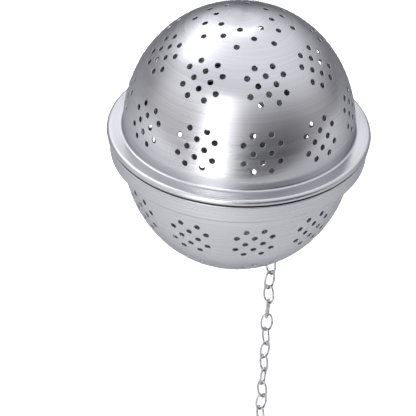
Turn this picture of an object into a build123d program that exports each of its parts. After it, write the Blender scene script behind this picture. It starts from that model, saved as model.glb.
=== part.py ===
"""Screw-together perforated tea ball with a link chain and a rim hook.

Two pressed stainless halves. The upper half is a dome whose sheet runs out
into a flat rim, rolls back under itself and turns down into a threaded neck.
The lower half is a bowl with a straight threaded collar and a flared lip.
A round jump ring passes through two of the bowl's polar perforations and
carries a chain of oval links that ends in an open wire hook.

Millimetres. +Z up, origin at the lowest point of the bowl (its pole).
"""
import math
import os
from build123d import *

os.makedirs("parts", exist_ok=True)

# ------------------------------------------------------------------ sizes
SHEET = 0.5              # sheet thickness of both halves
Z0 = 49.6                # height of the joint plane above the bowl's pole

CAP_R = 39.4             # outside radius of both caps at their base
CAP_H = 41.9             # height of both caps above their base
CAP_POLE_R = 38.0        # outside radius of the arc over the pole
DOME_Z = Z0 + 3.4        # base plane of the dome
BOWL_Z = Z0 - 7.7        # base plane of the bowl

RIM_R = 44.8             # outside radius of the rolled rim
RIM_TOP = Z0 + 3.5       # top of the flat rim
RIM_UNDER = Z0 + 1.0     # underside of the rolled rim
RIM_FILLET = 0.9         # concave radius between dome and rim
NECK_R = 42.1            # outside radius of the male neck
NECK_END = Z0 - 4.9      # lower edge of the male neck

COLLAR_R = 43.9          # outside radius of the lower collar
COLLAR_TOP = Z0 + 0.8    # top of the flared lip
LIP_FLARE_R = 0.6        # concave radius under the lip
LIP_FLARE = 80.0         # how far the lip turns outwards, degrees
SHOULDER_Z = Z0 - 5.0    # where the collar starts to turn in
SHOULDER_R = 1.2         # convex radius at the foot of the collar
SHOULDER_SLOPE = 25.0    # fall of the shoulder towards the bowl, degrees
SHOULDER_FILLET = 1.6    # concave radius between shoulder and bowl

THREAD_PITCH = 2.2
THREAD_TURNS = 1.6
THREAD_MALE_CREST = 42.62
THREAD_FEMALE_CREST = 42.80

HOLE_D = 1.9             # perforation diameter
GRID = 4.16              # pitch of the square perforation grid in a cluster
LOW_RING = dict(n=11, t=17.8)     # cluster ring next to the base
HIGH_RING = dict(n=8, t=47.4)     # cluster ring half way up
DOME_LOW_AZ, DOME_HIGH_AZ, DOME_POLE_AZ = 10.6, 16.6, -8.0
BOWL_LOW_AZ, BOWL_HIGH_AZ, BOWL_POLE_AZ = 8.96, 18.2, -2.4
BOWL_LOW_T = 16.0
POLE_RINGS = ((9.0, 0.0), (12.8, 22.5), (15.9, 0.0))   # radius, azimuth offset

RING_WIRE = 0.9          # jump ring wire
RING_R = 4.0             # jump ring mean radius
RING_SEATS = ((12.8, 67.5), (15.9, 90.0))   # the two perforations that hold it
LINK_WIRE = 0.9          # chain wire
LINK_LEN = 8.9           # outside length of a link
LINK_WID = 5.2           # outside width of a link
LINK_END_R = 1.7         # mean radius of a link's two ends
LINK_GAP = 0.10          # play between two linked wires
SEAM = 0.10              # butt seam in each bent wire link
# azimuth of each link's plane, from the ring down
LINK_AZ = (45.0, 128.0, 52.0, 164.0, 98.0, 210.0, 128.0, 218.0, 152.0,
           228.0, 116.0, 215.0, 120.0, 230.0, 125.0, 210.0, 112.0, 220.0)

HOOK_WIRE = 1.3
HOOK_EYE_R = 2.0         # mean radius of the hook's eye
HOOK_BEND_R = 4.6        # mean radius of the hook's bend
HOOK_SHANK = 12.0
HOOK_TIP = 2.5           # straight run of the tip above the bend


# ------------------------------------------------------------- helpers
def on_axis(r, az, z):
    """Point at radius r and azimuth az (0 at -Y, 90 at +X)."""
    a = math.radians(az)
    return Vector(r * math.sin(a), -r * math.cos(a), z)


def cap_arcs(t=0.0):
    """Two-arc section of a cap, base plane at 0, offset inwards by t.

    Returns the side arc's centre and radius, the pole arc's centre height and
    radius, and the joint's angle above the horizontal.
    """
    r1 = CAP_POLE_R
    h1 = CAP_H - r1
    # side arc centred on the base plane, tangent to the pole arc
    r2 = (CAP_R ** 2 + h1 ** 2 - r1 ** 2) / (2.0 * (CAP_R - r1))
    c2 = CAP_R - r2
    ang = math.atan2(h1, -c2)
    return c2, r2 - t, h1, r1 - t, ang


def cap_point(r):
    """Height above the base plane and unit normal of the outer cap at radius r."""
    c2, r2, h1, r1, ang = cap_arcs()
    if r <= r1 * math.cos(ang):
        z = h1 + math.sqrt(r1 ** 2 - r ** 2)
        n = (r / r1, (z - h1) / r1)
    else:
        z = math.sqrt(r2 ** 2 - (r - c2) ** 2)
        n = ((r - c2) / r2, z / r2)
    return z, n


def arc(c, r, a0, a1):
    """Arc about centre c in the section plane, from angle a0 to a1 in degrees."""
    p = [(c[0] + r * math.cos(math.radians(a)), c[1] + r * math.sin(math.radians(a)))
         for a in (a0, 0.5 * (a0 + a1), a1)]
    return p


def section(points):
    """Closed section from a list of ('line', p) and ('arc', (p0, mid, p1)) steps."""
    edges = []
    cur = None
    first = None
    for kind, data in points:
        if kind == "start":
            cur = first = data
        elif kind == "line":
            if math.dist(cur, data) > 1e-6:
                edges.append(Line((cur[0], 0, cur[1]), (data[0], 0, data[1])))
            cur = data
        else:
            p0, pm, p1 = data
            if math.dist(cur, p0) > 1e-6:
                edges.append(Line((cur[0], 0, cur[1]), (p0[0], 0, p0[1])))
            edges.append(ThreePointArc((p0[0], 0, p0[1]), (pm[0], 0, pm[1]), (p1[0], 0, p1[1])))
            cur = p1
    if math.dist(cur, first) > 1e-6:
        edges.append(Line((cur[0], 0, cur[1]), (first[0], 0, first[1])))
    return make_face(Wire(edges))


def turned(face):
    """Solid of revolution of a section about Z."""
    return revolve(face, Axis.Z, 360)


# --------------------------------------------------------- perforations
def cluster(t, az, up):
    """Drill axes of one cluster: a 4 x 4 grid on its corner, corners left out.

    Positions are relative to the cap's base plane, up=+1 for the dome and -1
    for the bowl. Yields start point and direction of each drill.
    """
    tt, a = math.radians(t), math.radians(az)
    pt = Vector(CAP_R * math.cos(tt) * math.sin(a), -CAP_R * math.cos(tt) * math.cos(a),
                up * CAP_H * math.sin(tt))
    n = Vector(math.cos(tt) / CAP_R * math.sin(a), -math.cos(tt) / CAP_R * math.cos(a),
               up * math.sin(tt) / CAP_H).normalized()
    east = Vector(math.cos(a), math.sin(a), 0)
    north = n.cross(east)
    if north.Z < 0:
        north = -north
    s = math.sqrt(0.5)
    for i in (-1.5, -0.5, 0.5, 1.5):
        for j in (-1.5, -0.5, 0.5, 1.5):
            if abs(i) == 1.5 and abs(j) == 1.5:
                continue
            u, v = (i - j) * s * GRID, (i + j) * s * GRID
            yield pt + east * u + north * v, n


def drills(base_z, up, low_az, low_t, high_az, pole_az):
    """All perforation tools of one half."""
    tools = []
    for ring, t, az0 in ((LOW_RING, low_t, low_az), (HIGH_RING, HIGH_RING["t"], high_az)):
        for k in range(ring["n"]):
            for p, n in cluster(t, az0 + 360.0 * k / ring["n"], up):
                q = p + Vector(0, 0, base_z) - n * 5.0
                tools.append(Plane(origin=q, z_dir=n) * Cylinder(
                    HOLE_D / 2, 10.0, align=(Align.CENTER, Align.CENTER, Align.MIN)))
    for r, off in POLE_RINGS:
        z, nrm = cap_point(r)
        for k in range(8):
            az = pole_az + off + 45.0 * k
            a = math.radians(az)
            n = Vector(nrm[0] * math.sin(a), -nrm[0] * math.cos(a), up * nrm[1])
            q = on_axis(r, az, base_z + up * z) - n * 2.0
            tools.append(Plane(origin=q, z_dir=n) * Cylinder(
                HOLE_D / 2, 4.0, align=(Align.CENTER, Align.CENTER, Align.MIN)))
    return tools


# ------------------------------------------------------------ upper half
def upper_section():
    c2, r2, h1, r1, ang = cap_arcs()
    angd = math.degrees(ang)
    # concave arc between the side arc and the flat rim, tangent to both
    f = RIM_FILLET
    zc = RIM_TOP + f
    rr = r2 + f
    phi = math.asin((zc - DOME_Z) / rr)
    fc = (c2 + rr * math.cos(phi), zc)
    roll_r = (RIM_TOP - RIM_UNDER) / 2
    roll_c = (RIM_R - roll_r, RIM_TOP - roll_r)
    nf = 0.8
    neck_c = (NECK_R + nf, RIM_UNDER - nf)
    steps = [
        ((0, DOME_Z + h1), r1, 90, angd, -1),
        ((c2, DOME_Z), r2, angd, math.degrees(phi), -1),
        (fc, f, 180 + math.degrees(phi), 270, +1),
        (roll_c, roll_r, 90, -90, -1),
        (neck_c, nf, 90, 180, +1),
    ]
    outer = [arc(c, r, a0, a1) for c, r, a0, a1, s in steps]
    inner = [arc(c, r + s * SHEET, a0, a1) for c, r, a0, a1, s in steps]
    pts = [("start", outer[0][0])]
    for a in outer:
        pts.append(("arc", a))
    pts.append(("line", (NECK_R, NECK_END)))
    pts.append(("line", (NECK_R - SHEET, NECK_END)))
    for a in reversed(inner):
        pts.append(("arc", (a[2], a[1], a[0])))
    return section(pts)


def thread(r_mean, r_sec, z_start, turns):
    """Half-round thread ridge, swept along a helix."""
    path = Helix(THREAD_PITCH, THREAD_PITCH * turns, r_mean, center=(0, 0, z_start))
    prof = Plane(origin=path @ 0, z_dir=path % 0) * Circle(r_sec)
    return sweep(prof, path=path, is_frenet=True)


def upper_half():
    body = turned(upper_section())
    body = body + thread(THREAD_MALE_CREST - 0.5, 0.5, NECK_END + 0.75, THREAD_TURNS)
    tools = drills(DOME_Z, +1, DOME_LOW_AZ, LOW_RING["t"], DOME_HIGH_AZ, DOME_POLE_AZ)
    return body - tools


# ------------------------------------------------------------ lower half
def lower_section():
    c2, r2, h1, r1, ang = cap_arcs()
    angd = math.degrees(ang)
    # flared lip: the collar's edge curls outwards under the rolled rim
    lip, beta = LIP_FLARE_R, math.radians(LIP_FLARE)
    e = SHEET / 2
    lip_c = (COLLAR_R + lip, COLLAR_TOP - e - (lip + e) * math.sin(beta))
    tip = (lip_c[0] - (lip + e) * math.cos(beta), lip_c[1] + (lip + e) * math.sin(beta))
    # shoulder: collar -> convex foot -> slope -> concave arc -> bowl
    sh_r, cr = SHOULDER_R, SHOULDER_FILLET
    sh_c = (COLLAR_R - sh_r, SHOULDER_Z)
    slope = math.radians(SHOULDER_SLOPE)
    a_end = SHOULDER_SLOPE - 90.0
    nrm = (math.sin(slope), -math.cos(slope))
    pe = (sh_c[0] + sh_r * nrm[0], sh_c[1] + sh_r * nrm[1])
    d = (-math.cos(slope), -math.sin(slope))
    # the concave arc's centre lies cr outside the slope and cr outside the side arc
    rr = r2 + cr
    lo, hi = 0.0, 8.0
    for _ in range(80):
        s = 0.5 * (lo + hi)
        c = (pe[0] + d[0] * s + nrm[0] * cr, pe[1] + d[1] * s + nrm[1] * cr)
        if math.hypot(c[0] - c2, c[1] - BOWL_Z) > rr:
            lo = s
        else:
            hi = s
    phi = math.degrees(math.atan2(c[1] - BOWL_Z, c[0] - c2))
    steps = [
        ((0, BOWL_Z - h1), r1, -90, -angd, -1),
        ((c2, BOWL_Z), r2, -angd, phi, -1),
        (c, cr, 180 + phi, 180 + a_end, +1),
        (sh_c, sh_r, a_end, 0, -1),
        (lip_c, lip, 180, 180 - LIP_FLARE, +1),
    ]
    outer = [arc(cc, r, a0, a1) for cc, r, a0, a1, s_ in steps]
    inner = [arc(cc, r + s_ * SHEET, a0, a1) for cc, r, a0, a1, s_ in steps]
    pts = [("start", outer[0][0])]
    for a in outer:
        pts.append(("arc", a))
    pts.append(("arc", arc(tip, e, -LIP_FLARE, 180 - LIP_FLARE)))
    for a in reversed(inner):
        pts.append(("arc", (a[2], a[1], a[0])))
    print("bowl meets shoulder at", round(phi, 2), "deg, slope length", round(s, 2),
          "lip radius", round(tip[0] + e, 3))
    return section(pts)


def lower_half():
    body = turned(lower_section())
    body = body + Rot(0, 0, 37) * thread(THREAD_FEMALE_CREST + 0.5, 0.5, Z0 - 4.2, THREAD_TURNS)
    tools = drills(BOWL_Z, -1, BOWL_LOW_AZ, BOWL_LOW_T, BOWL_HIGH_AZ, BOWL_POLE_AZ)
    return body - tools


# ----------------------------------------------------------------- chain
def frame_at(origin, az, z_dir=Vector(0, 0, 1)):
    """Plane whose x is horizontal at azimuth az, y is up and z is their normal."""
    a = math.radians(az)
    x = Vector(math.sin(a), -math.cos(a), 0)
    return Plane(origin=origin, x_dir=x, z_dir=x.cross(Vector(0, 0, 1)))


def oval_link(top, az):
    """Oval wire link hanging from its top crown's wire centre, in the plane az.

    Its centre line is four tangent arcs: two tight ends and two bowed sides.
    """
    w, l, re = (LINK_WID - LINK_WIRE) / 2, (LINK_LEN - LINK_WIRE) / 2, LINK_END_R
    h = l - re
    rs = (w ** 2 + h ** 2 - re ** 2) / (2.0 * (w - re))
    a = math.atan2(h, rs - w)
    jx, jy = w - rs + rs * math.cos(a), rs * math.sin(a)
    pl = frame_at(top - Vector(0, 0, l), az)
    path = pl * Wire([
        ThreePointArc((jx, jy), (w, 0), (jx, -jy)),
        ThreePointArc((jx, -jy), (0, -l), (-jx, -jy)),
        ThreePointArc((-jx, -jy), (-w, 0), (-jx, jy)),
        ThreePointArc((-jx, jy), (0, l), (jx, jy))])
    start = pl * Plane(origin=(jx, jy, 0), z_dir=(math.sin(a), -math.cos(a), 0))
    body = sweep(start * Circle(LINK_WIRE / 2), path=path)
    slit = pl * Pos(w, 0, 0) * Box(LINK_WIRE * 1.4, SEAM, LINK_WIRE * 1.4)
    return body - slit


def jump_ring(centre, direction):
    """Round ring in the upright plane that holds the given direction."""
    x = direction.normalized()
    n = x.cross(Vector(0, 0, 1)).normalized()
    ring = Plane(origin=centre, x_dir=x, z_dir=n) * Torus(RING_R, RING_WIRE / 2)
    up = n.cross(x).normalized()
    slit = Plane(origin=centre + (x * -0.5 + up * -math.sqrt(0.75)) * RING_R, x_dir=x, z_dir=n)
    ang = 60.0
    slit = slit * Rot(0, 0, ang) * Box(RING_WIRE * 1.5, SEAM, RING_WIRE * 1.5)
    return ring - slit


def ring_seat():
    """The two perforations that hold the jump ring, on the sheet's mid surface."""
    out = []
    for r, off in RING_SEATS:
        z, n = cap_point(r)
        k = SHEET / 2
        out.append(on_axis(r - n[0] * k, BOWL_POLE_AZ + off, BOWL_Z - z + n[1] * k))
    return out


def ring_placement():
    """Centre of the jump ring, direction of its chord and lowest wire centre."""
    a, b = ring_seat()
    chord = b - a
    u = chord.normalized()
    drop = math.sqrt(RING_R ** 2 - (chord.length / 2) ** 2)
    down = Vector(0, 0, -1)
    down = (down - u * down.dot(u)).normalized()
    c = (a + b) * 0.5 + down * drop
    return c, u, c - Vector(0, 0, RING_R)


def chain_layout():
    """Top crown centre and plane azimuth of every link, and the hinge points."""
    c, u, low = ring_placement()
    az_ring = math.degrees(math.atan2(u.X, -u.Y))
    links = []
    pivot = low
    drop = LINK_WIRE + LINK_GAP
    first = (RING_WIRE + LINK_WIRE) / 2 + LINK_GAP
    for i, az in enumerate(LINK_AZ):
        top = pivot + Vector(0, 0, first if i == 0 else drop)
        links.append((pivot, top, az))
        pivot = top - Vector(0, 0, LINK_LEN - LINK_WIRE)
    return az_ring, links, pivot


def hook_wire():
    """Open hook in its own plane, hinge point at the origin, y up.

    The wire closes an eye round the last link, runs down as a shank, turns
    through the bend and ends in a short flared tip.
    """
    e, b = HOOK_EYE_R, HOOK_BEND_R
    top = (LINK_WIRE + HOOK_WIRE) / 2 + LINK_GAP
    cy = top - e
    pt = lambda cx, cyy, r, a: (cx + r * math.cos(math.radians(a)), cyy + r * math.sin(math.radians(a)))
    a0 = 256.0
    steps = []
    steps.append(("arc", pt(0, cy, e, a0), pt(0, cy, e, (a0 - 360 + 180) / 2), pt(0, cy, e, 180)))
    s0 = (-e, cy)
    s1 = (-e, cy - HOOK_SHANK)
    steps.append(("line", s0, s1))
    bc = (-e + b, s1[1])
    steps.append(("arc", s1, pt(bc[0], bc[1], b, 270), pt(bc[0], bc[1], b, 360)))
    t0 = (bc[0] + b, bc[1])
    t1 = (t0[0], t0[1] + HOOK_TIP)
    steps.append(("line", t0, t1))
    fr = 5.0
    fc = (t1[0] + fr, t1[1])
    steps.append(("arc", t1, pt(fc[0], fc[1], fr, 180 - 18), pt(fc[0], fc[1], fr, 180 - 36)))
    return steps


def polyline_of(steps, n=24):
    """Evenly sampled points along the hook, with the length of each piece."""
    out = []
    for st in steps:
        if st[0] == "line":
            (x0, y0), (x1, y1) = st[1], st[2]
            m = 8
            for k in range(m):
                f = (k + 0.5) / m
                out.append((x0 + (x1 - x0) * f, y0 + (y1 - y0) * f, math.dist(st[1], st[2]) / m))
        else:
            e = ThreePointArc((*st[1], 0), (*st[2], 0), (*st[3], 0))
            for k in range(n):
                p = e @ ((k + 0.5) / n)
                out.append((p.X, p.Y, e.length / n))
    return out


def hook_tilt(steps):
    """Turn about the hinge point that brings the hook's mass plumb below it."""
    pts = polyline_of(steps)
    m = sum(w for _, _, w in pts)
    gx = sum(x * w for x, _, w in pts) / m
    gy = sum(y * w for _, y, w in pts) / m
    return -math.degrees(math.atan2(gx, -gy))


def hook(pivot, az):
    steps = hook_wire()
    tilt = hook_tilt(steps)
    pl = frame_at(pivot, az) * Rot(0, 0, tilt)
    edges = []
    for st in steps:
        if st[0] == "line":
            edges.append(Line((*st[1], 0), (*st[2], 0)))
        else:
            edges.append(ThreePointArc((*st[1], 0), (*st[2], 0), (*st[3], 0)))
    path = Wire(edges)
    r = HOOK_WIRE / 2
    prof = Plane(origin=path @ 0, z_dir=path % 0) * Circle(r)
    body = sweep(prof, path=path)
    for p in (path @ 0, path @ 1):
        body = body + Pos(p.X, p.Y, p.Z) * Sphere(r)
    print("hook tilt", round(tilt, 3))
    return pl * body


def report(name, shape):
    print(name, "valid", shape.is_valid, "solids", len(shape.solids()), "volume", round(shape.volume, 3))


def main():
    nodes = {"upper_half": upper_half(), "lower_half": lower_half()}
    c, u, low = ring_placement()
    nodes["jump_ring"] = jump_ring(c, u)
    a, b = ring_seat()
    print("ring hinge at", (a + b) * 0.5, "axis", u)
    az_ring, links, pivot = chain_layout()
    for i, (piv, top, az) in enumerate(links):
        nodes["link_%02d" % (i + 1)] = oval_link(top, az)
        print("link_%02d" % (i + 1), "hinge", tuple(round(v, 5) for v in piv), "plane", round(az, 3))
    az_hook = links[-1][2] + 90.0
    nodes["rim_hook"] = hook(pivot, az_hook)
    print("rim_hook hinge", tuple(round(v, 5) for v in pivot), "plane", round(az_hook, 3), "ring plane", round(az_ring, 3))
    for name, shape in nodes.items():
        report(name, shape)
        export_step(shape, "parts/%s.step" % name)


if __name__ == "__main__":
    main()
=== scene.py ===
import math

import bpy
import numpy as np
from mathutils import Matrix, Vector, kdtree
from mathutils.geometry import delaunay_2d_cdt


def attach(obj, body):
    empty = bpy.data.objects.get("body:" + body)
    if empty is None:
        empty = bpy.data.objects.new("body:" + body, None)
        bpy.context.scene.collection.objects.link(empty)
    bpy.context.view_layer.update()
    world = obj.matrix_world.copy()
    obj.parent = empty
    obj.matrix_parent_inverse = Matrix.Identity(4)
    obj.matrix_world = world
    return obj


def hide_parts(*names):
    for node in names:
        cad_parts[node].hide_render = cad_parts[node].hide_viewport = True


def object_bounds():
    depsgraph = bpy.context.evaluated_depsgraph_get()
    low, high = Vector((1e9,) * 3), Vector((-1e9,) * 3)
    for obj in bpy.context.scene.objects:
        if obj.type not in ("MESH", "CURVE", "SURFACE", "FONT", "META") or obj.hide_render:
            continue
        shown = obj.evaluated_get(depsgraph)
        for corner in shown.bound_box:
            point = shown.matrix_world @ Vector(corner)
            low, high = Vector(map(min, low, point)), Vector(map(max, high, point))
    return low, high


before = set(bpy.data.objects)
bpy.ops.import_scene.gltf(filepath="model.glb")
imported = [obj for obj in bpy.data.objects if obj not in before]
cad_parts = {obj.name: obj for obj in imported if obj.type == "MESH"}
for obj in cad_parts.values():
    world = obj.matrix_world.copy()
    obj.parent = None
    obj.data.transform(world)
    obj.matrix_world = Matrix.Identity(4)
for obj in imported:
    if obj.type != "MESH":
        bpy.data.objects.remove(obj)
cad_low, cad_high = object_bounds()

MM = 0.001

# ---------------------------------------------------------------- sizes, mm
SHEET = 0.5
Z0 = 49.6
CAP_R, CAP_H, CAP_POLE_R = 39.4, 41.9, 38.0
DOME_Z, BOWL_Z = Z0 + 3.4, Z0 - 7.7
RIM_R, RIM_TOP, RIM_UNDER, RIM_FILLET = 44.8, Z0 + 3.5, Z0 + 1.0, 0.9
NECK_R, NECK_END = 42.1, Z0 - 4.9
COLLAR_R, COLLAR_TOP, LIP_FLARE_R, LIP_FLARE = 43.9, Z0 + 0.8, 0.6, 80.0
SHOULDER_Z, SHOULDER_R, SHOULDER_SLOPE, SHOULDER_FILLET = Z0 - 5.0, 1.2, 25.0, 1.6
THREAD_PITCH, THREAD_TURNS = 2.2, 1.6
MALE_CREST, FEMALE_CREST = 42.62, 42.80
HOLE_D, GRID = 1.9, 4.16
LOW_N, LOW_T_DOME, LOW_T_BOWL = 11, 17.8, 16.0
HIGH_N, HIGH_T = 8, 47.4
DOME_AZ = (10.6, 16.6, -8.0)
BOWL_AZ = (8.96, 18.2, -2.4)
POLE_RINGS = ((9.0, 0.0), (12.8, 22.5), (15.9, 0.0))

SEG = 288            # segments round the axis
HSEG = 28            # segments round a perforation


# ------------------------------------------------------------- cap surface
R1 = CAP_POLE_R
H1 = CAP_H - R1
R2 = (CAP_R ** 2 + H1 ** 2 - R1 ** 2) / (2.0 * (CAP_R - R1))
C2 = CAP_R - R2
ANG = math.atan2(H1, -C2)
PI2 = math.pi / 2


def cap_rz(s, t=0.0):
    """Radius, height and normal of the cap at arc length s from the pole, inset by t."""
    s = np.asarray(s, float)
    r1, r2 = R1 - t, R2 - t
    s1 = r1 * (PI2 - ANG)
    a = np.where(s <= s1, PI2 - s / r1, ANG - (s - s1) / r2)
    r = np.where(s <= s1, r1 * np.cos(a), C2 + r2 * np.cos(a))
    z = np.where(s <= s1, H1 + r1 * np.sin(a), r2 * np.sin(a))
    return r, z, np.cos(a), np.sin(a)


def cap_s(r, z, t=0.0):
    """Arc length from the pole of the point (r, z)."""
    r1, r2 = R1 - t, R2 - t
    s1 = r1 * (PI2 - ANG)
    a1 = np.arctan2(z - H1, r)
    a2 = np.arctan2(z, r - C2)
    return np.where(a1 >= ANG, r1 * (PI2 - a1), s1 + r2 * (ANG - a2))


def cap_f(p, t):
    """Signed distance to the cap's surface, inset by t, for points in cap space."""
    r = np.hypot(p[..., 0], p[..., 1])
    z = p[..., 2]
    pole = np.arctan2(z - H1, r) >= ANG
    return np.where(pole, np.hypot(r, z - H1) - (R1 - t), np.hypot(r - C2, z) - (R2 - t))


def drop(p, n, t):
    """Moves points along -n until they lie on the cap inset by t."""
    q = p.copy()
    for _ in range(12):
        f = cap_f(q, t)
        q = q - n * f[..., None]
    # a few secant steps square the last error away along the drill direction
    for _ in range(6):
        e = 1e-4
        f0 = cap_f(q, t)
        f1 = cap_f(q + n * e, t)
        q = q - n * (f0 / ((f1 - f0) / e))[..., None]
    return q


def drill_axes(low_t, az):
    """Point and direction of every perforation, in cap space (pole up)."""
    out = []
    s = math.sqrt(0.5)
    for n_ring, t, az0 in ((LOW_N, low_t, az[0]), (HIGH_N, HIGH_T, az[1])):
        for k in range(n_ring):
            tt, a = math.radians(t), math.radians(az0 + 360.0 * k / n_ring)
            pt = np.array([CAP_R * math.cos(tt) * math.sin(a), -CAP_R * math.cos(tt) * math.cos(a), CAP_H * math.sin(tt)])
            n = np.array([math.cos(tt) / CAP_R * math.sin(a), -math.cos(tt) / CAP_R * math.cos(a), math.sin(tt) / CAP_H])
            n /= np.linalg.norm(n)
            east = np.array([math.cos(a), math.sin(a), 0.0])
            north = np.cross(n, east)
            if north[2] < 0:
                north = -north
            for i in (-1.5, -0.5, 0.5, 1.5):
                for j in (-1.5, -0.5, 0.5, 1.5):
                    if abs(i) == 1.5 and abs(j) == 1.5:
                        continue
                    out.append((pt + east * (i - j) * s * GRID + north * (i + j) * s * GRID, n))
    for r, off in POLE_RINGS:
        sl = R1 * math.asin(r / R1)
        rr, zz, nr, nz = (float(v) for v in cap_rz(sl))
        for k in range(8):
            a = math.radians(az[2] + off + 45.0 * k)
            out.append((np.array([rr * math.sin(a), -rr * math.cos(a), zz]), np.array([nr * math.sin(a), -nr * math.cos(a), nz])))
    return out


def cap_layer(axes, t, bevel, s_edge, flip):
    """One side of a perforated cap: points, normals, triangles, the loops round the holes and the base loop."""
    r = HOLE_D / 2
    phi = np.linspace(0, 2 * np.pi, HSEG, endpoint=False)
    centres, dirs, rims, rings = [], [], [], []
    for p, n in axes:
        e1 = np.cross(n, [0, 0, 1.0] if abs(n[2]) < 0.9 else [1.0, 0, 0])
        e1 /= np.linalg.norm(e1)
        e2 = np.cross(n, e1)
        c = np.cos(phi)[:, None] * e1 + np.sin(phi)[:, None] * e2
        nn = np.broadcast_to(n, c.shape)
        base = drop(p[None] + n * 0.0, n[None], t)[0]
        centres.append(base)
        dirs.append(n)
        rims.append(drop(base + c * (r + bevel), nn, t))
        rings.append(drop(base + c * (r + bevel + 0.28), nn, t))
    centres, dirs = np.array(centres), np.array(dirs)

    def to_uv(q):
        s = cap_s(np.hypot(q[..., 0], q[..., 1]), q[..., 2], t)
        a = np.arctan2(q[..., 0], -q[..., 1])
        return np.stack([s * np.sin(a), -s * np.cos(a)], -1)

    # field of points in rings about the pole
    field = []
    n_rings = int(round(s_edge / 1.12))
    for k in range(1, n_rings):
        s = s_edge * k / n_rings
        rr = float(cap_rz(s, t)[0])
        m = max(6, int(round(2 * math.pi * rr / 1.12)))
        a = (np.arange(m) + 0.5 * (k % 2)) * 2 * np.pi / m
        field.append(np.stack([s * np.sin(a), -s * np.cos(a)], -1))
    field.append(np.zeros((1, 2)))
    field = np.concatenate(field)
    s = np.hypot(field[:, 0], field[:, 1])
    a = np.arctan2(field[:, 0], -field[:, 1])
    rr, zz, _, _ = cap_rz(s, t)
    f3 = np.stack([rr * np.sin(a), -rr * np.cos(a), zz], -1)
    tree = kdtree.KDTree(len(centres))
    for i, c in enumerate(centres):
        tree.insert(Vector(c), i)
    tree.balance()
    keep = [tree.find(Vector(p))[2] > r + bevel + 0.62 for p in f3]
    field = field[np.array(keep)]

    a = np.arange(SEG) * 2 * np.pi / SEG
    edge = np.stack([s_edge * np.sin(a), -s_edge * np.cos(a)], -1)
    uv = [edge]
    edges = [(i, (i + 1) % SEG) for i in range(SEG)]
    at = SEG
    loops = []
    for q in rims:
        uv.append(to_uv(q))
        ids = list(range(at, at + HSEG))
        loops.append(ids)
        edges += [(ids[i], ids[(i + 1) % HSEG]) for i in range(HSEG)]
        at += HSEG
    for q in rings:
        uv.append(to_uv(q))
        at += HSEG
    uv.append(field)
    uv = np.concatenate(uv)
    hole_of = np.full(len(uv), -1)
    for k, ids in enumerate(loops):
        hole_of[ids] = k
    v2, e2, f2, ov, oe, of = delaunay_2d_cdt([Vector(p) for p in uv], edges, [], 0, 1e-9)
    back = [o[0] if o else -1 for o in ov]
    if -1 in back or len(set(back)) != len(back):
        raise RuntimeError("perforated cap: the triangulation made new points")
    tris = np.array([[back[i] for i in f] for f in f2])
    h = hole_of[tris]
    inside = (h[:, 0] >= 0) & (h[:, 0] == h[:, 1]) & (h[:, 1] == h[:, 2])
    tris = tris[~inside]
    # wind every triangle the same way
    A, B, C = uv[tris[:, 0]], uv[tris[:, 1]], uv[tris[:, 2]]
    area = (B[:, 0] - A[:, 0]) * (C[:, 1] - A[:, 1]) - (B[:, 1] - A[:, 1]) * (C[:, 0] - A[:, 0])
    tris = tris[np.abs(area) > 1e-10]
    area = area[np.abs(area) > 1e-10]
    tris[area < 0] = tris[area < 0][:, ::-1]
    if flip:
        tris = tris[:, ::-1]
    s = np.hypot(uv[:, 0], uv[:, 1])
    a = np.arctan2(uv[:, 0], -uv[:, 1])
    rr, zz, nr, nz = cap_rz(s, t)
    pos = np.stack([rr * np.sin(a), -rr * np.cos(a), zz], -1)
    nor = np.stack([nr * np.sin(a), -nr * np.cos(a), nz], -1)
    if flip:
        nor = -nor
    return pos, nor, tris, loops, centres, dirs


class Builder:
    """Gathers points, normals, an edge mask and faces of one mesh."""

    def __init__(self):
        self.p, self.n, self.w, self.f = [], [], [], []
        self.count = 0

    def add(self, p, n, w=0.0):
        p = np.asarray(p, float)
        self.p.append(p)
        self.n.append(np.broadcast_to(n, p.shape))
        self.w.append(np.full(len(p), w, float) if np.isscalar(w) else np.asarray(w, float))
        at = self.count
        self.count += len(p)
        return np.arange(at, self.count)

    def faces(self, f):
        self.f.append(np.asarray(f, int))

    def strip(self, a, b, closed=True):
        """Quads between two rows of the same length."""
        a, b = np.asarray(a), np.asarray(b)
        if closed:
            a2, b2 = np.roll(a, -1), np.roll(b, -1)
        else:
            a, a2, b, b2 = a[:-1], a[1:], b[:-1], b[1:]
        self.faces(np.stack([a, a2, b2, b], -1))

    def mesh(self, name, base_z, up):
        p = np.concatenate(self.p)
        n = np.concatenate(self.n).copy()
        w = np.concatenate(self.w)
        faces = []
        for f in self.f:
            if not len(f):
                continue
            # wind every face so that it looks the way its normals do
            q = p[f]
            g = np.cross(q[:, 1] - q[:, 0], q[:, 2] - q[:, 0])
            if f.shape[1] == 4:
                g = g + np.cross(q[:, 2] - q[:, 0], q[:, 3] - q[:, 0])
            wrong = (g * n[f].sum(1)).sum(1) < 0
            f = f.copy()
            f[wrong] = f[wrong][:, ::-1]
            faces += f.tolist()
        if up < 0:
            p = p * np.array([1, 1, -1.0])
            n = n * np.array([1, 1, -1.0])
            faces = [f[::-1] for f in faces]
        p = p + np.array([0, 0, base_z])
        me = bpy.data.meshes.new(name)
        me.from_pydata((p * MM).tolist(), [], faces)
        me.update()
        me.polygons.foreach_set("use_smooth", [True] * len(me.polygons))
        ln = np.linalg.norm(n, axis=1)
        n = n / np.maximum(ln, 1e-9)[:, None]
        me.normals_split_custom_set_from_vertices(n.tolist())
        at = me.attributes.new("edge", "FLOAT", "POINT")
        at.data.foreach_set("value", w.astype(np.float32))
        ob = bpy.data.objects.new(name, me)
        bpy.context.scene.collection.objects.link(ob)
        return ob


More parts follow.
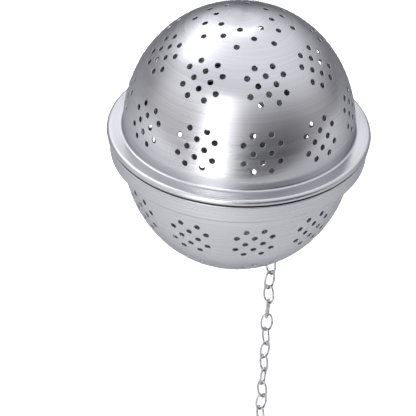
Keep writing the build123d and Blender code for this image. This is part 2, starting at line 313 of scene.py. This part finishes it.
def perforated(b, axes, phi_end):
    """Adds both sides of a perforated cap and the walls of its holes. Returns the two base loops."""
    bevel_out, bevel_in = 0.10, 0.05
    r = HOLE_D / 2
    r2o = R2
    s1 = R1 * (PI2 - ANG)
    s_out = s1 + R2 * (ANG - phi_end)
    s1i = (R1 - SHEET) * (PI2 - ANG)
    s_in = s1i + (R2 - SHEET) * (ANG - phi_end)
    o = cap_layer(axes, 0.0, bevel_out, s_out, False)
    i = cap_layer(axes, SHEET, bevel_in, s_in, True)
    out_ids = b.add(o[0], o[1])
    b.faces(out_ids[o[2]])
    in_ids = b.add(i[0], i[1])
    b.faces(in_ids[i[2]])
    phi = np.linspace(0, 2 * np.pi, HSEG, endpoint=False)
    for k in range(len(axes)):
        n = o[5][k]
        e1 = np.cross(n, [0, 0, 1.0] if abs(n[2]) < 0.9 else [1.0, 0, 0])
        e1 /= np.linalg.norm(e1)
        e2 = np.cross(n, e1)
        c = np.cos(phi)[:, None] * e1 + np.sin(phi)[:, None] * e2
        nn = np.broadcast_to(n, c.shape)
        top = drop(o[4][k] + c * r, nn, 0.0)
        low = drop(i[4][k] + c * r, nn, SHEET)
        q = 1 - math.sqrt(0.5)
        rows = [out_ids[o[3][k]]]
        m = drop(o[4][k] + c * (r + bevel_out * q), nn, 0.0) - n * bevel_out * q
        rows.append(b.add(m, (nn - c) / math.sqrt(2), 1.0))
        rows.append(b.add(top - n * bevel_out, -c, 1.0))
        rows.append(b.add(low + n * bevel_in, -c, 0.6))
        m = drop(i[4][k] + c * (r + bevel_in * q), nn, SHEET) + n * bevel_in * q
        rows.append(b.add(m, (-nn - c) / math.sqrt(2), 0.6))
        rows.append(in_ids[i[3][k]])
        for a, d in zip(rows, rows[1:]):
            b.strip(a, d)
    return out_ids[:SEG], in_ids[:SEG]


def arc_pts(c, r, a0, a1, n, side):
    """Section points and normals along an arc: side +1 where the normal points away from c."""
    a = np.radians(np.linspace(a0, a1, n))
    return [(c[0] + r * math.cos(x), c[1] + r * math.sin(x), side * math.cos(x), side * math.sin(x)) for x in a]


def turn(b, rows_in, first, last, threads):
    """Adds rows of a turned profile between two loops that exist. rows are (r, z, nr, nz)."""
    a = np.arange(SEG) * 2 * np.pi / SEG
    sa, ca = np.sin(a), -np.cos(a)
    prev = first
    for r, z, nr, nz in rows_in:
        rr = np.full(SEG, r)
        nzz = np.full(SEG, nz)
        if threads is not None:
            h, slope = threads(a, z)
            rr = rr + h
            nzz = nzz - slope * nr
        ids = b.add(np.stack([rr * sa, rr * ca, np.full(SEG, z)], -1),
                    np.stack([nr * sa, nr * ca, nzz], -1))
        b.strip(prev, ids)
        prev = ids
    if last is not None:
        b.strip(prev, last)
    return prev


def thread_fn(z_start, height, half, base_az):
    """Rolled thread: radial offset and slope at angles a and height z."""
    def fn(a, z):
        h = np.zeros_like(a)
        sl = np.zeros_like(a)
        t0 = ((a - base_az) / (2 * np.pi)) % 1.0
        for k in range(3):
            tau = t0 + k
            d = z - (z_start + THREAD_PITCH * tau)
            ends = np.clip(tau / 0.12, 0, 1) * np.clip((THREAD_TURNS - tau) / 0.12, 0, 1)
            ends = np.where((tau >= 0) & (tau <= THREAD_TURNS), ends, 0)
            ends = ends * ends * (3 - 2 * ends)
            on = np.abs(d) < half
            h += np.where(on, height * ends * 0.5 * (1 + np.cos(np.pi * d / half)), 0)
            sl += np.where(on, -height * ends * 0.5 * np.pi / half * np.sin(np.pi * d / half), 0)
        return h, sl
    return fn


def upper_half():
    b = Builder()
    f = RIM_FILLET
    zc = RIM_TOP - DOME_Z + f
    rr = R2 + f
    phi = math.asin(zc / rr)
    fc = (C2 + rr * math.cos(phi), zc)
    ph = math.degrees(phi)
    out_base, in_base = perforated(b, drill_axes(LOW_T_DOME, DOME_AZ), phi)
    top, under = RIM_TOP - DOME_Z, RIM_UNDER - DOME_Z
    end = NECK_END - DOME_Z
    roll = (top - under) / 2
    rc = (RIM_R - roll, top - roll)
    nf = 0.8
    nc = (NECK_R + nf, under - nf)
    t = SHEET
    rows = arc_pts(fc, f, 180 + ph, 270, 10, -1)[1:]
    flat0, flat1 = rows[-1][0], rc[0]
    rows += [(flat0 + (flat1 - flat0) * k / 5, top, 0, 1) for k in range(1, 5)]
    rows += arc_pts(rc, roll, 90, -90, 25, 1)
    rows += [(nc[0] + (rc[0] - nc[0]) * (1 - k / 3), under, 0, -1) for k in range(1, 3)]
    rows += arc_pts(nc, nf, 90, 180, 9, -1)
    # threaded neck, both faces of the sheet
    z_a, z_b = under - nf, end + 0.16
    zs = np.linspace(z_a, z_b, 40)
    th = thread_fn(NECK_END + 0.75 - DOME_Z, MALE_CREST - NECK_R, 0.62, 0.0)
    prev = turn(b, rows, out_base, None, None)
    prev = turn(b, [(NECK_R, z, 1, 0) for z in zs[1:]], prev, None, th)
    e = 0.16
    edge = arc_pts((NECK_R - e, end + e), e, 0, -90, 5, 1)[1:] + arc_pts((NECK_R - t + e, end + e), e, -90, -180, 5, 1)[:-1]
    prev = turn(b, edge, prev, None, None)
    prev = turn(b, [(NECK_R - t, z, -1, 0) for z in zs[::-1][:-1]], prev, None, lambda a, z: th(a, z))
    rows = arc_pts(nc, nf + t, 180, 90, 9, 1)
    rows += [(nc[0] + (rc[0] - nc[0]) * k / 3, under + t, 0, 1) for k in range(1, 3)]
    rows += arc_pts(rc, roll - t, -90, 90, 15, -1)
    rows += [(flat1 + (flat0 - flat1) * k / 3, top - t, 0, -1) for k in range(1, 3)]
    rows += arc_pts(fc, f + t, 270, 180 + ph, 9, 1)[:-1]
    turn(b, rows, prev, in_base, None)
    return b.mesh("upper_shell", DOME_Z, 1)


def lower_profile():
    """The foot of the collar: convex arc, slope and the concave arc that runs into the bowl."""
    sh_r, slope, cr = SHOULDER_R, math.radians(SHOULDER_SLOPE), SHOULDER_FILLET
    sc = (COLLAR_R - sh_r, SHOULDER_Z)
    ae = -(PI2 - slope)
    nrm = (math.cos(ae), math.sin(ae))
    pe = (sc[0] + sh_r * nrm[0], sc[1] + sh_r * nrm[1])
    d = (-math.cos(slope), -math.sin(slope))
    rr = R2 + cr
    lo, hi = 0.0, 8.0
    for _ in range(80):
        s = 0.5 * (lo + hi)
        c = (pe[0] + d[0] * s + nrm[0] * cr, pe[1] + d[1] * s + nrm[1] * cr)
        if math.hypot(c[0] - C2, c[1] - BOWL_Z) > rr:
            lo = s
        else:
            hi = s
    phi = math.atan2(c[1] - BOWL_Z, c[0] - C2)
    return sh_r, sc, ae, cr, c, phi, s, pe, d


def lower_half():
    b = Builder()
    sh_r, sc, ae, cr, cc, phi, s, pe, d = lower_profile()
    Z = lambda z: -(z - BOWL_Z)              # turned-over height
    out_base, in_base = perforated(b, drill_axes(LOW_T_BOWL, BOWL_AZ), -phi)
    ph, aed = math.degrees(phi), math.degrees(ae)
    t = SHEET

    def fl(rows):
        return [(r, Z(z), nr, -nz) for r, z, nr, nz in rows]
    rows = arc_pts(cc, cr, 180 + ph, 180 + aed, 9, -1)[1:]
    p0, p1 = rows[-1], (pe[0], pe[1])
    rows += [(p0[0] + (p1[0] - p0[0]) * k / 4, p0[1] + (p1[1] - p0[1]) * k / 4, p0[2], p0[3]) for k in range(1, 4)]
    rows += arc_pts(sc, sh_r, aed, 0, 12, 1)
    lip, e, beta = LIP_FLARE_R, SHEET / 2, math.radians(LIP_FLARE)
    lc = (COLLAR_R + lip, COLLAR_TOP - e - (lip + e) * math.sin(beta))
    tip = (lc[0] - (lip + e) * math.cos(beta), lc[1] + (lip + e) * math.sin(beta))
    prev = turn(b, fl(rows), out_base, None, None)
    zs = np.linspace(SHOULDER_Z, lc[1], 34)
    th0 = thread_fn(Z0 - 4.2, -(COLLAR_R - SHEET - FEMALE_CREST), 0.62, 2.2)
    # the outside of the collar stays plain: the thread is rolled from within
    prev = turn(b, fl([(COLLAR_R, z, 1, 0) for z in zs[1:]]), prev, None, None)
    rows = arc_pts(lc, lip, 180, 180 - LIP_FLARE, 8, -1)[1:]
    rows += arc_pts(tip, e, -LIP_FLARE, 180 - LIP_FLARE, 11, 1)
    rows += arc_pts(lc, lip + t, 180 - LIP_FLARE, 180, 9, 1)
    prev = turn(b, fl(rows), prev, None, None)

    def th(a, zz):
        h, sl = th0(a, BOWL_Z - zz)
        return h, -sl
    prev = turn(b, fl([(COLLAR_R - t, z, -1, 0) for z in zs[::-1][1:]]), prev, None, th)
    rows = arc_pts(sc, sh_r - t, 0, aed, 9, -1)[1:]
    q0 = rows[-1]
    r2 = arc_pts(cc, cr + t, 180 + aed, 180 + ph, 9, 1)
    rows += [(q0[0] + (r2[0][0] - q0[0]) * k / 4, q0[1] + (r2[0][1] - q0[1]) * k / 4, q0[2], q0[3]) for k in range(1, 4)]
    rows += r2[:-1]
    turn(b, fl(rows), prev, in_base, None)
    return b.mesh("lower_shell", BOWL_Z, -1)


# ----------------------------------------------------------------- wires
def tube(name, pts, radius, closed, seg=20, caps=True, joint_angle=None):
    """Round wire along pts, with frames carried without twist."""
    pts = np.asarray(pts, float)
    n = len(pts)
    if closed:
        tan = np.roll(pts, -1, 0) - np.roll(pts, 1, 0)
    else:
        tan = np.gradient(pts, axis=0)
    tan /= np.linalg.norm(tan, axis=1)[:, None]
    u = np.cross(tan[0], [0.3, 0.5, 0.81])
    u /= np.linalg.norm(u)
    U = [u]
    for i in range(1, n):
        u = U[-1] - tan[i] * np.dot(U[-1], tan[i])
        U.append(u / np.linalg.norm(u))
    U = np.array(U)
    V = np.cross(tan, U)
    a = np.arange(seg) * 2 * np.pi / seg
    b = Builder()
    rows = []
    rad = np.broadcast_to(radius, (n,))

    def row(i, centre, rr, bend, w):
        d = np.cos(a)[:, None] * U[i] + np.sin(a)[:, None] * V[i]
        nn = d * math.cos(bend) + (tan[i] if bend > 0 else -tan[i]) * abs(math.sin(bend))
        return b.add(centre + d * rr, nn, w)
    cap = 0.0
    if not closed:
        # rounded shear edge at each end
        e = min(0.10, radius * 0.4) if np.isscalar(radius) else 0.1
        if caps == "ball":
            e = radius
        st = [math.radians(x) for x in ((90, 67, 45, 22) if caps != "ball" else (82, 68, 54, 40, 26, 13))]
        c0 = b.add([pts[0] - tan[0] * 0], [-tan[0]], 0.5)
        for x in st:
            rows.append(row(0, pts[0] + tan[0] * e * (1 - math.sin(x)), rad[0] - e + e * math.cos(x), -x, 0.5))
        inner = range(0, n)
        first = True
        L0 = 0.0
        for i in range(n):
            if np.dot(pts[i] - pts[0], tan[0]) <= e and i < n // 2:
                continue
            if np.dot(pts[-1] - pts[i], tan[-1]) <= e and i > n // 2:
                continue
            rows.append(row(i, pts[i], rad[i], 0, 0.0))
        for x in st[::-1]:
            rows.append(row(n - 1, pts[-1] - tan[-1] * e * (1 - math.sin(x)), rad[-1] - e + e * math.cos(x), x, 0.5))
        c1 = b.add([pts[-1]], [tan[-1]], 0.5)
        for p, q in zip(rows, rows[1:]):
            b.strip(p, q)
        r0, r1 = rows[0], rows[-1]
        b.faces(np.stack([np.full(seg, c0[0]), np.roll(r0, -1), r0], -1))
        b.faces(np.stack([np.full(seg, c1[0]), r1, np.roll(r1, -1)], -1))
    else:
        for i in range(n):
            rows.append(row(i, pts[i], rad[i], 0, 0.0))
        # the turn that would untwist the closing seam; it is worked out but not applied
        k = int(np.argmin([np.linalg.norm(U[0] - (np.cos(x) * U[-1] + np.sin(x) * V[-1])) for x in a]))
        for p, q in zip(rows, rows[1:]):
            b.strip(p, q)
        b.strip(rows[-1], rows[0])
    me = b
    p = np.concatenate(me.p)
    # make sure faces look outwards
    f = me.f[0][0]
    c = p[f].mean(0)
    nrm = np.cross(p[f[1]] - p[f[0]], p[f[2]] - p[f[0]])
    vn = np.concatenate(me.n)[f].mean(0)
    if np.dot(nrm, vn) < 0:
        me.f = [x[:, ::-1] for x in me.f]
    return me.mesh(name, 0.0, 1)


def dir_az(az):
    a = math.radians(az)
    return np.array([math.sin(a), -math.cos(a), 0.0])


UP = np.array([0.0, 0.0, 1.0])
RING_WIRE, RING_R = 0.9, 4.0
RING_SEATS = ((12.8, 67.5), (15.9, 90.0))
LINK_WIRE, LINK_LEN, LINK_WID, LINK_END_R, LINK_GAP, SEAM = 0.9, 8.9, 5.2, 1.7, 0.10, 0.10
LINK_AZ = (45.0, 128.0, 52.0, 164.0, 98.0, 210.0, 128.0, 218.0, 152.0,
           228.0, 116.0, 215.0, 120.0, 230.0, 125.0, 210.0, 112.0, 220.0)
HOOK_WIRE, HOOK_EYE_R, HOOK_BEND_R, HOOK_SHANK, HOOK_TIP = 1.3, 2.0, 4.6, 12.0, 2.5


def ring_place():
    out = []
    for r, off in RING_SEATS:
        s = R1 * math.asin(r / R1)
        rr, z, nr, nz = (float(v) for v in cap_rz(s))
        a = BOWL_AZ[2] + off
        out.append(dir_az(a) * (rr - nr * SHEET / 2) + UP * (BOWL_Z - z + nz * SHEET / 2))
    a, b = out
    chord = b - a
    u = chord / np.linalg.norm(chord)
    dropd = math.sqrt(RING_R ** 2 - (np.linalg.norm(chord) / 2) ** 2)
    down = -UP + u * u[2]
    down /= np.linalg.norm(down)
    return (a + b) / 2 + down * dropd, u


def link_points(top, az):
    """Centre line of one oval link, four tangent arcs, open at its butt seam."""
    w, l, re = (LINK_WID - LINK_WIRE) / 2, (LINK_LEN - LINK_WIRE) / 2, LINK_END_R
    h = l - re
    rs = (w ** 2 + h ** 2 - re ** 2) / (2.0 * (w - re))
    j = math.atan2(h, rs - w)
    g = SEAM / 2 / rs
    P = []
    for t in np.linspace(-g, -j, 13)[:-1]:
        P.append((w - rs + rs * math.cos(t), rs * math.sin(t)))
    for t in np.linspace(-j, -np.pi + j, 23)[:-1]:
        P.append((re * math.cos(t), -h + re * math.sin(t)))
    for t in np.linspace(j, -j, 21)[:-1]:
        P.append((-(w - rs + rs * math.cos(t)), -rs * math.sin(t)))
    for t in np.linspace(np.pi - j, j, 23)[:-1]:
        P.append((re * math.cos(t), h + re * math.sin(t)))
    for t in np.linspace(j, g, 13):
        P.append((w - rs + rs * math.cos(t), rs * math.sin(t)))
    c = np.array(top) - UP * l
    x = dir_az(az)
    return np.array([c + x * p[0] + UP * p[1] for p in P])


def ring_points(c, u):
    n = np.cross(u, UP)
    n /= np.linalg.norm(n)
    w = np.cross(n, u)
    a0 = math.radians(240.0)
    g = SEAM / 2 / RING_R
    t = np.linspace(a0 + g, a0 + 2 * np.pi - g, 97)
    return c + RING_R * (np.cos(t)[:, None] * u + np.sin(t)[:, None] * w)


def hook_points(pivot, az):
    e, b = HOOK_EYE_R, HOOK_BEND_R
    cy = (LINK_WIRE + HOOK_WIRE) / 2 + LINK_GAP - e

    def build(res):
        P, W = [], []

        def arc(cx, cyy, r, a0, a1, n):
            for k in range(n):
                a = math.radians(a0 + (a1 - a0) * (k + 0.5) / n)
                P.append((cx + r * math.cos(a), cyy + r * math.sin(a)))
                W.append(abs(math.radians(a1 - a0)) * r / n)

        def line(x0, y0, x1, y1, n):
            for k in range(n):
                f = (k + 0.5) / n
                P.append((x0 + (x1 - x0) * f, y0 + (y1 - y0) * f))
                W.append(math.hypot(x1 - x0, y1 - y0) / n)
        arc(0, cy, e, 256.0 - 360.0, 180.0, 44 * res)
        line(-e, cy, -e, cy - HOOK_SHANK, 16 * res)
        arc(-e + b, cy - HOOK_SHANK, b, 180, 360, 44 * res)
        tx = -e + 2 * b
        line(tx, cy - HOOK_SHANK, tx, cy - HOOK_SHANK + HOOK_TIP, 4 * res)
        arc(tx + 5.0, cy - HOOK_SHANK + HOOK_TIP, 5.0, 180, 144, 8 * res)
        return np.array(P), np.array(W)
    P, W = build(4)
    g = (P * W[:, None]).sum(0) / W.sum()
    tilt = -math.atan2(g[0], -g[1])
    P, W = build(1)
    P = np.array([[p[0] * math.cos(tilt) - p[1] * math.sin(tilt), p[0] * math.sin(tilt) + p[1] * math.cos(tilt)] for p in P])
    x = dir_az(az)
    return np.array([np.asarray(pivot) + x * p[0] + UP * p[1] for p in P])


# ------------------------------------------------------------- materials
def new_mat(name):
    m = bpy.data.materials.new(name)
    m.use_nodes = True
    nt = m.node_tree
    bsdf = nt.nodes["Principled BSDF"]
    return m, nt, bsdf


def brushed_steel():
    m, nt, bsdf = new_mat("brushed_steel")
    N, L = nt.nodes, nt.links
    bsdf.inputs["Metallic"].default_value = 1.0
    bsdf.inputs["Anisotropic"].default_value = 0.72
    bsdf.inputs["Specular Tint"].default_value = (0.30, 0.30, 0.32, 1)
    tan = N.new("ShaderNodeTangent")
    tan.direction_type = "RADIAL"
    tan.axis = "Z"
    L.new(tan.outputs[0], bsdf.inputs["Tangent"])
    geo = N.new("ShaderNodeTexCoord")
    sep = N.new("ShaderNodeSeparateXYZ")
    L.new(geo.outputs["Object"], sep.inputs[0])

    def math_node(op, a, b=None):
        n = N.new("ShaderNodeMath")
        n.operation = op
        for k, v in enumerate((a, b)):
            if v is None:
                continue
            if isinstance(v, (int, float)):
                n.inputs[k].default_value = v
            else:
                L.new(v, n.inputs[k])
        return n.outputs[0]
    x, y, z = sep.outputs
    rr = math_node("SQRT", math_node("ADD", math_node("MULTIPLY", x, x), math_node("MULTIPLY", y, y)))
    safe = math_node("MAXIMUM", rr, 0.0008)
    cx = math_node("DIVIDE", x, safe)
    cy = math_node("DIVIDE", y, safe)

    def streaks(fine, along, detail, rough):
        """Noise that is long round the axis and fine across it."""
        n = N.new("ShaderNodeTexNoise")
        n.noise_dimensions = "4D"
        comb = N.new("ShaderNodeCombineXYZ")
        L.new(math_node("MULTIPLY", rr, fine), comb.inputs[0])
        L.new(math_node("MULTIPLY", z, fine), comb.inputs[1])
        L.new(math_node("MULTIPLY", cx, along), comb.inputs[2])
        L.new(comb.outputs[0], n.inputs["Vector"])
        L.new(math_node("MULTIPLY", cy, along), n.inputs["W"])
        n.inputs["Scale"].default_value = 1.0
        n.inputs["Detail"].default_value = detail
        n.inputs["Roughness"].default_value = rough
        return n.outputs["Fac"]
    fine = streaks(5200.0, 0.9, 2.0, 0.6)
    mid = streaks(1300.0, 0.7, 3.0, 0.6)
    broad = N.new("ShaderNodeTexNoise")
    L.new(geo.outputs["Object"], broad.inputs["Vector"])
    broad.inputs["Scale"].default_value = 42.0
    broad.inputs["Detail"].default_value = 3.0
    edge = N.new("ShaderNodeAttribute")
    edge.attribute_name = "edge"

    def ramp(v, lo, hi, a, b):
        n = N.new("ShaderNodeMapRange")
        L.new(v, n.inputs["Value"])
        n.inputs["From Min"].default_value = lo
        n.inputs["From Max"].default_value = hi
        n.inputs["To Min"].default_value = a
        n.inputs["To Max"].default_value = b
        return n.outputs["Result"]
    rough = math_node("ADD", ramp(mid, 0.3, 0.7, 0.27, 0.34), ramp(broad.outputs["Fac"], 0.35, 0.65, -0.03, 0.03))
    rough = math_node("SUBTRACT", rough, math_node("MULTIPLY", edge.outputs["Fac"], 0.08))
    L.new(rough, bsdf.inputs["Roughness"])
    mix = N.new("ShaderNodeMix")
    mix.data_type = "RGBA"
    L.new(ramp(fine, 0.3, 0.7, 0.0, 1.0), mix.inputs["Factor"])
    mix.inputs["A"].default_value = (0.595, 0.595, 0.625, 1)
    mix.inputs["B"].default_value = (0.735, 0.735, 0.765, 1)
    L.new(mix.outputs["Result"], bsdf.inputs["Base Color"])
    bump = N.new("ShaderNodeBump")
    bump.inputs["Strength"].default_value = 0.06
    bump.inputs["Distance"].default_value = 0.00003
    L.new(fine, bump.inputs["Height"])
    L.new(bump.outputs["Normal"], bsdf.inputs["Normal"])
    return m


def wire_steel(name, scale, base):
    m, nt, bsdf = new_mat(name)
    N, L = nt.nodes, nt.links
    bsdf.inputs["Metallic"].default_value = 1.0
    bsdf.inputs["Specular Tint"].default_value = (0.25, 0.25, 0.26, 1)
    tc = N.new("ShaderNodeTexCoord")
    n = N.new("ShaderNodeTexNoise")
    n.inputs["Scale"].default_value = scale
    n.inputs["Detail"].default_value = 4.0
    L.new(tc.outputs["Object"], n.inputs["Vector"])
    mr = N.new("ShaderNodeMapRange")
    L.new(n.outputs["Fac"], mr.inputs["Value"])
    mr.inputs["From Min"].default_value = 0.35
    mr.inputs["From Max"].default_value = 0.65
    mr.inputs["To Min"].default_value = 0.06
    mr.inputs["To Max"].default_value = 0.16
    L.new(mr.outputs["Result"], bsdf.inputs["Roughness"])
    mix = N.new("ShaderNodeMix")
    mix.data_type = "RGBA"
    L.new(n.outputs["Fac"], mix.inputs["Factor"])
    mix.inputs["A"].default_value = (base * 0.85, base * 0.85, base * 0.87, 1)
    mix.inputs["B"].default_value = (base * 1.1, base * 1.1, base * 1.1, 1)
    L.new(mix.outputs["Result"], bsdf.inputs["Base Color"])
    bump = N.new("ShaderNodeBump")
    bump.inputs["Strength"].default_value = 0.12
    bump.inputs["Distance"].default_value = 0.00003
    L.new(n.outputs["Fac"], bump.inputs["Height"])
    L.new(bump.outputs["Normal"], bsdf.inputs["Normal"])
    return m


steel = brushed_steel()
wire = wire_steel("drawn_wire", 900.0, 0.56)
hook_mat = wire_steel("hook_wire", 600.0, 0.62)

# ----------------------------------------------------------------- pieces
upper = upper_half()
upper.data.materials.append(steel)
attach(upper, "upper_half")
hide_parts("upper_half")

lower = lower_half()
lower.data.materials.append(steel)
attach(lower, "lower_half")
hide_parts("lower_half")

ring_c, ring_u = ring_place()
ring = tube("jump_ring_wire", ring_points(ring_c, ring_u), RING_WIRE / 2, False)
ring.data.materials.append(wire)
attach(ring, "jump_ring")
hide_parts("jump_ring")

pivot = ring_c - UP * RING_R
for i, az in enumerate(LINK_AZ):
    gap = (RING_WIRE + LINK_WIRE) / 2 + LINK_GAP if i == 0 else LINK_WIRE + LINK_GAP
    top = pivot + UP * gap
    name = "link_%02d" % (i + 1)
    ob = tube(name + "_wire", link_points(top, az), LINK_WIRE / 2, False)
    ob.data.materials.append(wire)
    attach(ob, name)
    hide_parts(name)
    pivot = top - UP * (LINK_LEN - LINK_WIRE)
hook = tube("rim_hook_wire", hook_points(pivot, az + 90.0), HOOK_WIRE / 2, False, seg=28, caps="ball")
hook.data.materials.append(hook_mat)
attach(hook, "rim_hook")
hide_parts("rim_hook")

# ------------------------------------------------------------------ stage
floor_z = cad_low[2] - 0.004
me = bpy.data.meshes.new("floor")
SIDE, FRONT, BACK = 4.00, 0.50, 4.00
me.from_pydata([(-SIDE, -FRONT, floor_z), (SIDE, -FRONT, floor_z), (SIDE, BACK, floor_z), (-SIDE, BACK, floor_z)], [], [(0, 1, 2, 3)])
floor = bpy.data.objects.new("floor", me)
bpy.context.scene.collection.objects.link(floor)
fm, nt, bs = new_mat("floor_paper")
bs.inputs["Base Color"].default_value = (0.70, 0.70, 0.70, 1)
bs.inputs["Roughness"].default_value = 0.9
floor.data.materials.append(fm)

bpy.context.scene.view_settings.view_transform = "Standard"

# a studio that is dim in front and round the horizon, and brighter overhead and behind
world = bpy.data.worlds.new("studio")
bpy.context.scene.world = world
world.use_nodes = True
WN, WL = world.node_tree.nodes, world.node_tree.links
bg = WN["Background"]
tc = WN.new("ShaderNodeTexCoord")
sep = WN.new("ShaderNodeSeparateXYZ")
WL.new(tc.outputs["Generated"], sep.inputs[0])
ramp = WN.new("ShaderNodeValToRGB")
mr = WN.new("ShaderNodeMapRange")
mr.inputs["From Min"].default_value = -1.0
mr.inputs["From Max"].default_value = 1.0
lean = WN.new("ShaderNodeMath")
lean.operation = "MULTIPLY_ADD"
WL.new(sep.outputs["Y"], lean.inputs[0])
lean.inputs[1].default_value = 0.28
WL.new(sep.outputs["Z"], lean.inputs[2])
WL.new(lean.outputs[0], mr.inputs["Value"])
WL.new(mr.outputs["Result"], ramp.inputs["Fac"])
stops = ((0.0, 0.07), (0.42, 0.08), (0.53, 0.13), (0.62, 0.26), (0.78, 0.62), (0.88, 1.0), (1.0, 1.08))
el = ramp.color_ramp.elements
while len(el) < len(stops):
    el.new(0.5)
for k, (p, v) in enumerate(stops):
    el[k].position = p
    el[k].color = (v * 0.965, v * 0.965, v * 1.01, 1)
ramp.color_ramp.interpolation = "EASE"
WL.new(ramp.outputs["Color"], bg.inputs["Color"])
bg.inputs["Strength"].default_value = 1.0


def area(name, az, elev, dist, size, size_y, power, target=(0, 0, 0.055), spread=180.0):
    """Soft panel seen from the ball at azimuth az (0 in front, 90 at +X) and elevation elev."""
    d = bpy.data.lights.new(name, "AREA")
    d.shape = "RECTANGLE"
    d.size, d.size_y = size, size_y
    d.energy = power
    d.spread = math.radians(spread)
    o = bpy.data.objects.new(name, d)
    bpy.context.scene.collection.objects.link(o)
    a, e = math.radians(az), math.radians(elev)
    v = Vector((math.sin(a) * math.cos(e), -math.cos(a) * math.cos(e), math.sin(e)))
    o.rotation_euler = (-v).to_track_quat("-Z", "Y").to_euler()
    o.location = Vector(target) + v * dist
    return o


area("strip", -23.0, 0.0, 0.50, 0.22, 0.74, 1.6, (0, 0, floor_z + 0.38))
area("sky", -130.0, 50.0, 0.90, 0.66, 0.42, 1.30)
area("left", -75.0, 0.0, 0.65, 0.60, 0.80, 0.75, (0, 0, floor_z + 0.41))
area("right", 84.0, 0.0, 0.65, 0.50, 0.80, 0.36, (0, 0, floor_z + 0.41))
area("table", 180.0, 74.0, 0.97, 0.30, 0.30, 0.90, (0, 0.28, floor_z), 32.0)

# ----------------------------------------------------------------- camera
e, roll = 0.6404, 0.0315
right = Vector((1, 0, 0))
upv = Vector((0, math.sin(e), math.cos(e)))
back = Vector((0, -math.cos(e), math.sin(e)))
r2v = right * math.cos(roll) + upv * math.sin(roll)
u2v = -right * math.sin(roll) + upv * math.cos(roll)
cam_d = bpy.data.cameras.new("camera")
cam_d.sensor_width = 36.0
cam_d.lens = 1290.5 / 416.0 * 36.0
cam_d.clip_start = 0.01
cam_d.clip_end = 20.0
cam = bpy.data.objects.new("camera", cam_d)
bpy.context.scene.collection.objects.link(cam)
M = Matrix.Identity(4)
for k, v in enumerate((r2v, u2v, back)):
    for j in range(3):
        M[j][k] = v[j]
for j, v in enumerate((-0.00958, -0.3685, 0.2418 + Z0 * MM)):
    M[j][3] = v
cam.matrix_world = M
bpy.context.scene.camera = cam
